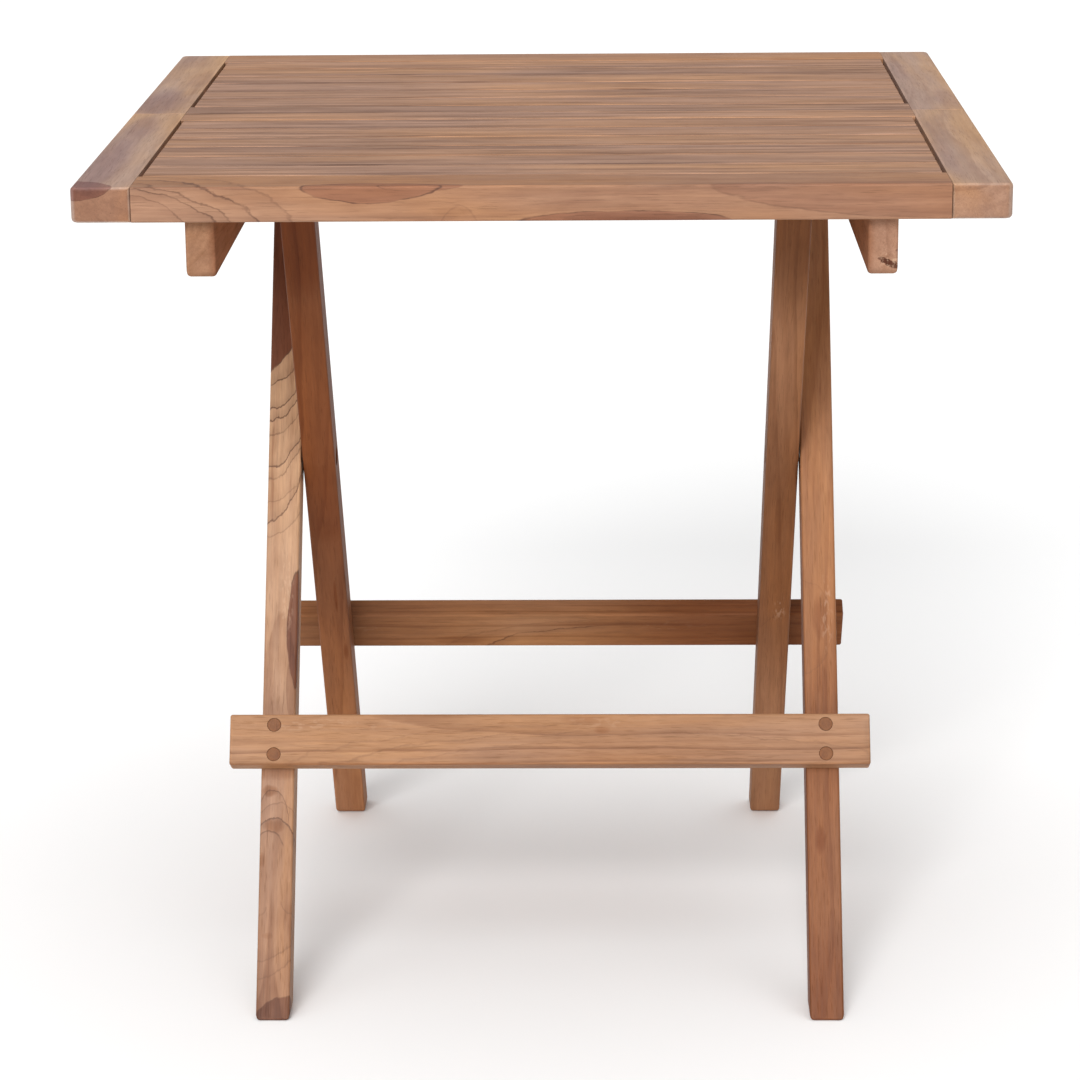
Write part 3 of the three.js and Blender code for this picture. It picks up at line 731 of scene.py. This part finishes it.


# Marks on single boards, each with a centre, a size and a strength. Centres and sizes are in millimetres
# from the board's middle: along the grain, across it, and out of its broad face. A leg's grain runs up
# it, across it is to the left, and out is to the front. Patches are darker heartwood with a dark rim,
# outlines are thin growth lines, and nicks are pale torn flecks. Shade and stains are soft darker
# regions: some are real stains in the wood, and some are painted shade or a painted shadow.
MARKS = {
    "front_outer_rail": {
        "patches": (
            ((-128, -23, 16), (52, 12, 15), 1.0),
            ((-90, -23, 15), (34, 9, 5), 0.9),
            ((63, -23, -17), (88, 16, 11), 1.0),
            ((300, -23, 20), (175, 11, 32), 0.45),
        ),
        "outlines": (
            ((-320, -23, -30), (-62, 60, 38), 0.6),
            ((-320, -23, -30), (-84, 60, 43), 0.9),
            ((-320, -23, -30), (-95, 60, 46), 0.7),
            ((-320, -23, -30), (-118, 60, 52), 0.9),
            ((-320, -23, -30), (-140, 60, 62), 0.4),
            ((-60, -23, -20), (16, 30, 18), 0.3),
            ((-66, -23, -22), (-20, 30, 22), 0.25),
        ),
        "stains": (
            ((120, -23, 14), (60, 10, 6), 0.6),
            ((-66, -23, -6), (22, 10, 6), 0.5),
            ((0, 0, 16), (400, 40, 9), 0.35),
            ((70, -23, -16), (90, 16, 12), 0.9),
            ((180, -23, -5), (420, 60, 60), 0.33),
        ),
    },
    "front_end_board_left": {
        "end": (0.72, 0.53, 0.39),
        "stain": (0.74, 0.70, 0.79),
        "patches": (((-178, 24, 15), (30, 33, 12), 0.9),),
        "stains": (((-80, 9, 14), (190, 20, 12), 1.0), ((100, 4, 14), (80, 16, 10), 0.9)),
    },
    "back_end_board_left": {
        "stain": (0.74, 0.70, 0.79),
        "stains": (
            ((-120, 6, 14), (90, 30, 10), 1.0),
            ((20, -14, 14), (70, 12, 8), 0.7),
            ((140, 6, 14), (60, 16, 8), 0.5),
        ),
    },
    "front_end_board_right": {
        "stains": (((-60, 16, 14), (130, 9, 8), 0.5),),
    },
    "back_end_board_right": {
        "stains": (((-120, -12, 14), (70, 12, 9), 0.8), ((60, 14, 14), (90, 9, 9), 0.5)),
    },
    "front_cleat_left": {
        # Painted shade on the cleat's inner side, under the top.
        "stains": (((0, 0, 18), (500, 80, 14), 1.0),),
    },
    "front_cleat_right": {
        "light": (0.46, 0.262, 0.170),
        "deep": (0.24, 0.118, 0.070),
        # Tone of the painted shade on the cleat's inner side.
        "stain": (0.60, 0.40, 0.27),
        "patches": (
            ((-184, -13, -1), (12, 1.3, 3), 0.8),
            ((-184, -15, 2), (12, 1.8, 4), 1.0),
            ((-184, -17, 6), (12, 2.3, 4.5), 1.0),
            ((-184, -19.5, 10), (12, 1.3, 4), 0.9),
            ((-184, -7, 12), (12, 1.0, 3), 0.6),
        ),
        # Painted shade on the cleat's inner side, under the top.
        "stains": (((0, 0, -18), (500, 80, 14), 1.0),),
        "nicks": (((-184, -14, 5), (12, 8, 10), 0.6),),
    },
    "outer_leg_left": {
        # Painted light: the light colour is lifted and the broad last stain darkens the leg towards the
        # foot, so the upper leg shows lighter against the tabletop's shade.
        "light": (0.680, 0.454, 0.300),
        "deep": (0.333, 0.176, 0.101),
        "heart": (0.31, 0.145, 0.100),
        "stain": (0.45, 0.30, 0.20),
        "mottle_depth": 0.8,
        "patches": (
            # The top patch is partly heartwood and partly a painted shadow of the tabletop.
            ((410, 325, 15), (400, 400, 400), 0.95),
            ((-68, -15, 15), (52, 10, 14), 0.85),
            ((-120, -10, 15), (30, 5, 8), 0.35),
            ((-437, -24, 15), (60, 58, 60), 0.68),
        ),
        "outlines": (
            *rising_lines((149, 125, 115, 73), 69, 34, 1.0),
            *rising_lines((102, 63), 69, 34, 0.6),
            ((100, 14, 15), (76, 31, 60), 0.9),
            *rising_lines((42, 12), 60, 36, 0.4),
            *rising_lines((-352, -366), 45, 36, 0.35),
            ((-300, -14, 15), (12, 9, 60), 0.35),
            ((-305, 14, 15), (8, 7, 60), 0.35),
            ((-258, 2, 15), (-27, 19, 60), 0.9),
            ((-262, 0, 15), (-44, 24, 60), 0.4),
            ((-256, 6, 15), (-14, 12, 60), 0.8),
            ((-240, 4, 15), (-34, 14, 60), 0.7),
        ),
        "stains": (
            # Painted shadow of the stretcher, just below it.
            ((-186, 0, 15), (24, 60, 20), 0.88),
            ((-208, 6, 15), (9, 12, 20), 0.95),
            ((-238, 3, 15), (12, 17, 20), 0.95),
            ((-266, 12, 15), (16, 7, 20), 0.9),
            ((-330, 6, 15), (9, 14, 20), 0.9),
            # Darker towards the foot, part of the painted light on this leg.
            ((-790, 0, 15), (1010, 400, 400), 0.78),
        ),
        "nicks": (
            ((-40, -4, 15), (50, 8, 4), 0.4),
            ((-130, 4, 15), (30, 8, 4), 0.4),
            ((-220, 0, 15), (34, 12, 4), 0.4),
            ((-310, 2, 15), (22, 12, 4), 0.6),
        ),
    },
    "outer_leg_right": {
        "stain": (0.45, 0.27, 0.14),
        "patches": (((-288, -13, 15), (12, 2, 5), 0.8), ((-372, -12, 15), (5, 2, 5), 0.8)),
        "outlines": (
            ((-62, 14, 15), (-34, 24, 60), 0.2),
            ((-64, 14, 15), (44, 25, 60), 0.2),
        ),
        "stains": (
            ((-250, 3, 15), (24, 9, 20), 0.85),
            ((-62, 0, 15), (26, 9, 20), 0.5),
            ((-120, -2, 15), (30, 8, 20), 0.55),
            ((-215, 0, 15), (190, 200, 200), 0.52),
            ((-440, 0, 15), (200, 200, 200), 0.80),
            # Painted shade along the leg's left side.
            ((-250, 15, 0), (420, 3.2, 40), 0.95),
        ),
        "nicks": (((-60, -6, 15), (44, 7, 4), 0.35), ((-210, 2, 15), (40, 7, 4), 0.35)),
    },
    "inner_leg_left": {
        "stains": (
            # Painted shade: darker towards the top, under the tabletop, and about the crossing, where the
            # outer leg's shadow falls.
            ((400, 0, 15), (840, 200, 200), 0.80),
            ((400, 0, 15), (230, 60, 60), 0.93),
            ((48, 0, 15), (105, 60, 60), 0.83),
            ((-75, -4, 15), (40, 3, 10), 0.85),
            ((-150, -9, 15), (24, 5, 10), 0.8),
        ),
    },
    "inner_leg_right": {
        "light": (0.42, 0.197, 0.090),
        "deep": (0.225, 0.093, 0.040),
        "stain": (0.42, 0.32, 0.24),
        "patches": (((255, -9, 15), (14, 1.2, 5), 1.0), ((300, 3, 15), (20, 1.0, 4), 0.7)),
        "outlines": (((-60, 24, 15), (60, 34, 60), 0.3),),
        "stains": (
            # Painted shade under the tabletop, darker towards the top; the next region makes the middle of
            # the leg darker.
            ((420, 0, 15), (200, 200, 200), 0.85),
            ((-10, 0, 15), (260, 200, 200), 0.74),
            ((20, 0, 15), (70, 8, 20), 0.85),
        ),
        "nicks": (((240, 2, 15), (8, 11, 5), 0.6), ((-95, -4, 15), (20, 8, 5), 0.35)),
    },
    "front_stretcher": {
        "outlines": (
            ((60, -44, 14), (270, 50, 60), 0.30),
            ((60, -44, 14), (225, 42, 60), 0.22),
            ((60, -44, 14), (310, 57, 60), 0.22),
            ((60, -44, 14), (-270, 50, 60), 0.30),
        ),
        "stains": (
            ((0, -24, 14), (700, 7, 30), 1.0),
            ((110, -44, 14), (300, 62, 80), 0.75),
            ((44, 7, 14), (9, 5, 10), 1.0),
            ((30, 16, 14), (30, 6, 10), 0.6),
        ),
        "nicks": (((-190, 12, 14), (110, 10, 5), 0.45), ((40, 14, 14), (60, 9, 5), 0.4)),
    },
    "back_stretcher": {
        "outlines": (
            ((60, -40, 14), (135, 48, 60), 0.8),
            ((70, -40, 14), (180, 56, 60), 0.3),
        ),
        "stains": (
            ((230, 0, 10), (260, 200, 200), 1.0),
            ((-230, 0, 10), (200, 200, 200), 0.62),
            ((-90, -12, 14), (40, 8, 20), 0.7),
            ((0, 36, 14), (700, 18, 60), 1.0),
        ),
        "nicks": (
            ((-180, 4, 14), (50, 16, 5), 0.3),
            ((110, 8, 14), (60, 10, 5), 0.3),
            ((240, 4, 14), (24, 16, 5), 0.3),
        ),
    },
}


# ---- Pieces from CAD nodes ----------------------------------------------------------------

# Radii of eased edges, in millimetres. The ones at joints are between the boards of the top.
END_BOARD_EASING = 3.0
END_BOARD_JOINT_EASING = 0.3
RAIL_EASING = 2.0
RAIL_JOINT_EASING = 0.4
SEAM_RAIL_EASING = 1.0
SLAT_EASING = 1.5
CLEAT_EASING = 3.0
LEG_EASING = 2.0
FOOT_EASING = 4.0
STRETCHER_EASING = 1.9
PLUG_EASING = 0.25
STEEL_EASING = 0.3
OUTSIDE_REACH = 3.0 * MM     # an edge this near to the outside of the top counts as being there
WIDEST_EASING = 5.0 * MM     # the radius that a weight of 1 stands for
EASING_SEGMENTS = 3
STEEL_SEGMENTS = 2

SHARP_ANGLE = math.radians(30.0)
INSIDE_ANGLE = math.radians(8.0)
FLAT_ANGLE = math.radians(1.0)
SHADING_ANGLE = math.radians(32.0)
WELD_DISTANCE = 0.01 * MM
CUT_DISTANCE = 0.02 * MM
SLATS_PER_LEAF = 6
# Seeds of boards, counted from the seed of their leaf or pair of legs.
CLEAT_SEED = 10
OUTER_RAIL_SEED = 20
SEAM_RAIL_SEED = 21
SLAT_SEED = 30
STRETCHER_SEED = 5
PLUG_SEED = 10

ROUND_PARTS = ("plug", "bolt")
STEEL_PARTS = ("bolt", "nut", "spacer")
CUT_BOARDS = ("cleat", "stretcher")      # boards whose holes lie close to their rounded corners


def has_word(name, words):
    return any(word in name for word in words)


def is_beside_joint(edge):
    """True if a face beside the edge has an inside corner: a shoulder, a tongue, a groove or a hole."""
    return any(not side.is_convex and side.calc_face_angle(0.0) > INSIDE_ANGLE
               for face in edge.link_faces for side in face.edges)


def hole_middles(node):
    """The middles of the plugs and bolts that sit in a board's holes."""
    low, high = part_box(node)
    for other in frame["nodes"]:
        if has_word(other, ROUND_PARTS):
            other_low, other_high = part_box(other)
            if all(other_low[axis] < high[axis] and other_high[axis] > low[axis] for axis in range(3)):
                yield (other_low + other_high) / 2


def cut_across_holes(shape, node, along):
    """Seams straight across the board through each hole, so that no face has a hole in its middle."""
    for middle in hole_middles(node):
        everything = shape.verts[:] + shape.edges[:] + shape.faces[:]
        cut = bmesh.ops.bisect_plane(shape, geom=everything, dist=CUT_DISTANCE,
                                     plane_co=middle, plane_no=along)
        for item in cut["geom_cut"]:
            if isinstance(item, bmesh.types.BMEdge):
                item.seam = True


def merged_shape(node, along):
    """A CAD node's mesh with its triangles joined into flat faces."""
    shape = bmesh.new()
    shape.from_mesh(frame["nodes"][node].data)
    bmesh.ops.remove_doubles(shape, verts=shape.verts, dist=WELD_DISTANCE)
    if has_word(node, CUT_BOARDS):
        cut_across_holes(shape, node, along)
    bmesh.ops.dissolve_limit(shape, angle_limit=FLAT_ANGLE, verts=shape.verts, edges=shape.edges,
                             delimit={"SEAM"})
    shape.normal_update()
    return shape


def weigh_edges(shape, radius_at):
    """Gives each outside corner edge the weight that stands for its radius."""
    weights = shape.edges.layers.float.new("bevel_weight_edge")
    for edge in shape.edges:
        is_sharp = edge.is_convex and edge.calc_face_angle(0.0) > SHARP_ANGLE
        if is_sharp and not is_beside_joint(edge):
            edge[weights] = radius_at((edge.verts[0].co + edge.verts[1].co) / 2) / WIDEST_EASING


def rounded(piece, segments):
    """The piece's mesh with its weighted edges rounded."""
    easing = piece.modifiers.new("eased edges", "BEVEL")
    easing.limit_method = "WEIGHT"
    easing.width = WIDEST_EASING
    easing.segments = segments
    easing.use_clamp_overlap = False
    easing.loop_slide = False
    evaluated = piece.evaluated_get(bpy.context.evaluated_depsgraph_get())
    mesh = bpy.data.meshes.new_from_object(evaluated)
    piece.modifiers.remove(easing)
    return mesh


def keep_in_box(mesh, node):
    """Moves any vertex that rounding took past the side of the CAD node back to that side."""
    low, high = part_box(node)
    for vertex in mesh.vertices:
        vertex.co = [min(max(vertex.co[axis], low[axis]), high[axis]) for axis in range(3)]


def shade_smoothly(piece):
    for polygon in piece.data.polygons:
        polygon.use_smooth = True
    piece.data.set_sharp_from_angle(angle=SHADING_ANGLE)
    piece.modifiers.new("even shading", "WEIGHTED_NORMAL").keep_sharp = True


def eased_piece(node, suffix, radius_at, along=UP, segments=EASING_SEGMENTS):
    """A copy of a CAD node with its outside edges rounded, standing for the node.

    radius_at gives the radius in metres for an edge whose middle is at a place, and along is the
    direction of a board's grain.
    """
    shape = merged_shape(node, along)
    weigh_edges(shape, radius_at)
    mesh = bpy.data.meshes.new(node + suffix)
    shape.to_mesh(mesh)
    shape.free()
    piece = bpy.data.objects.new(node + suffix, mesh)
    COLLECTION.objects.link(piece)
    piece.data = rounded(piece, segments)
    keep_in_box(piece.data, node)
    shade_smoothly(piece)
    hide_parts(node)
    return piece


def same_radius(radius):
    return lambda place: radius * MM


def top_radius(outer, inner):
    """A bigger radius on the outside of the whole top, and a small one at the joints between boards."""
    reach = CAD_BOX[1] - Vector((OUTSIDE_REACH, OUTSIDE_REACH, 0.0))
    return lambda place: (outer if abs(place.x) > reach.x or abs(place.y) > reach.y else inner) * MM


def leg_radius(place):
    return (FOOT_EASING if place.z < MM else LEG_EASING) * MM


def wood_piece(node, body, grain, look, seed, radius_at):
    """One board. grain is the direction that it runs in, and the one that its broad face looks in."""
    along, face_normal = grain
    piece = eased_piece(node, "_wood", radius_at, along)
    look = dict(look, **MARKS.get(node, {}))
    piece.data.materials.append(teak_material(piece, along, face_normal, look, seed))
    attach(piece, body)


def make_leaf(leaf, seed):
    """One half of the top: its frame and slats, with the cleats under them."""
    body = leaf + "_leaf"
    end_radius = top_radius(END_BOARD_EASING, END_BOARD_JOINT_EASING)
    rail_radius = top_radius(RAIL_EASING, RAIL_JOINT_EASING)
    seam_radius = same_radius(SEAM_RAIL_EASING)
    slat_radius = same_radius(SLAT_EASING)
    cleat_radius = same_radius(CLEAT_EASING)
    for index, side in enumerate(("left", "right")):
        board = f"{leaf}_end_board_{side}"
        wood_piece(board, body, (ALONG_Y, UP), END_LOOK, seed + index, end_radius)
        cleat = f"{leaf}_cleat_{side}"
        cleat_seed = seed + CLEAT_SEED + index
        wood_piece(cleat, body, (ALONG_Y, ALONG_X), CLEAT_LOOK, cleat_seed, cleat_radius)
    sideways = (ALONG_X, UP)
    outer_rail = f"{leaf}_outer_rail"
    wood_piece(outer_rail, body, sideways, RAIL_LOOK, seed + OUTER_RAIL_SEED, rail_radius)
    seam_rail = f"{leaf}_seam_rail"
    wood_piece(seam_rail, body, sideways, SLAT_LOOK, seed + SEAM_RAIL_SEED, seam_radius)
    for index in range(1, SLATS_PER_LEAF + 1):
        slat = f"{leaf}_slat_{index}"
        wood_piece(slat, body, sideways, SLAT_LOOK, seed + SLAT_SEED + index, slat_radius)


def leg_directions(pair):
    """The direction that a pair of legs runs in, upwards, and the one that its front looks in."""
    low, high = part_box(f"{pair}_leg_right")
    lean = {"outer": 1.0, "inner": -1.0}[pair]
    along = Vector((0.0, lean * (high.y - low.y), high.z - low.z)).normalized()
    return along, Vector(ALONG_X).cross(along)


def make_legs(pair, stretcher, leg_look, stretcher_look, seed):
    """Two legs, the stretcher that joins them and the plugs over its screws."""
    body = pair + "_legs"
    along, face = leg_directions(pair)
    for index, side in enumerate(("left", "right")):
        leg = f"{pair}_leg_{side}"
        wood_piece(leg, body, (along, face), leg_look, seed + index, leg_radius)
    bar = f"{stretcher}_stretcher"
    bar_radius = same_radius(STRETCHER_EASING)
    bar_seed = seed + STRETCHER_SEED
    wood_piece(bar, body, (ALONG_X, face), stretcher_look, bar_seed, bar_radius)
    plug_radius = same_radius(PLUG_EASING)
    for index, end in enumerate(("left_lower", "left_upper", "right_lower", "right_upper")):
        plug = f"{stretcher}_plug_{end}"
        plug_seed = seed + PLUG_SEED + index
        wood_piece(plug, body, (face, ALONG_X), PLUG_LOOK, plug_seed, plug_radius)


# ---- Bolts, nuts and spacers --------------------------------------------------------------

STEEL_LIGHT = (0.62, 0.61, 0.58, 1.0)
STEEL_DULL = (0.47, 0.45, 0.42, 1.0)
BRUSH_NOISE = (900.0, 900.0, 2.0, 0.5)
BRUSH_SEED = 3.0
BRUSH_STRENGTH = 0.15
BRUSH_HEIGHT = 0.05 * MM
BRUSH_ROUGHNESS = (0.22, 0.42)
DULL_NOISE = (160.0, 160.0, 3.0, 0.5)
DULL_SEED = 8.0


def steel_material():
    material = bpy.data.materials.new("stainless_steel")
    material.use_nodes = True
    t = Tree(material.node_tree)
    shader = material.node_tree.nodes["Principled BSDF"]
    place = t.node("ShaderNodeTexCoord").outputs["Object"]
    brushed = t.noise(place, BRUSH_NOISE, BRUSH_SEED)
    dull = t.noise(place, DULL_NOISE, DULL_SEED)
    inputs = {"Strength": BRUSH_STRENGTH, "Distance": BRUSH_HEIGHT, "Height": brushed}
    bump = t.node("ShaderNodeBump", inputs)
    t.feed(shader.inputs["Base Color"], t.mix(dull, STEEL_LIGHT, STEEL_DULL))
    t.feed(shader.inputs["Roughness"], t.span(brushed, *BRUSH_ROUGHNESS))
    t.feed(shader.inputs["Normal"], bump.outputs["Normal"])
    t.feed(shader.inputs["Metallic"], 1.0)
    return material


def make_fasteners():
    steel = steel_material()
    for body, nodes in frame["record"]["behaviour"]["bodies"].items():
        for node in nodes:
            if has_word(node, STEEL_PARTS):
                piece = eased_piece(node, "_steel", same_radius(STEEL_EASING), segments=STEEL_SEGMENTS)
                piece.data.materials.append(steel)
                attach(piece, body)


make_camera()
make_floor()
make_sky()
make_lights()
make_leaf("front", seed=100)
make_leaf("back", seed=200)
make_legs("outer", "front", OUTER_LEG_LOOK, FRONT_STRETCHER_LOOK, seed=300)
make_legs("inner", "back", INNER_LEG_LOOK, BACK_STRETCHER_LOOK, seed=400)
make_fasteners()
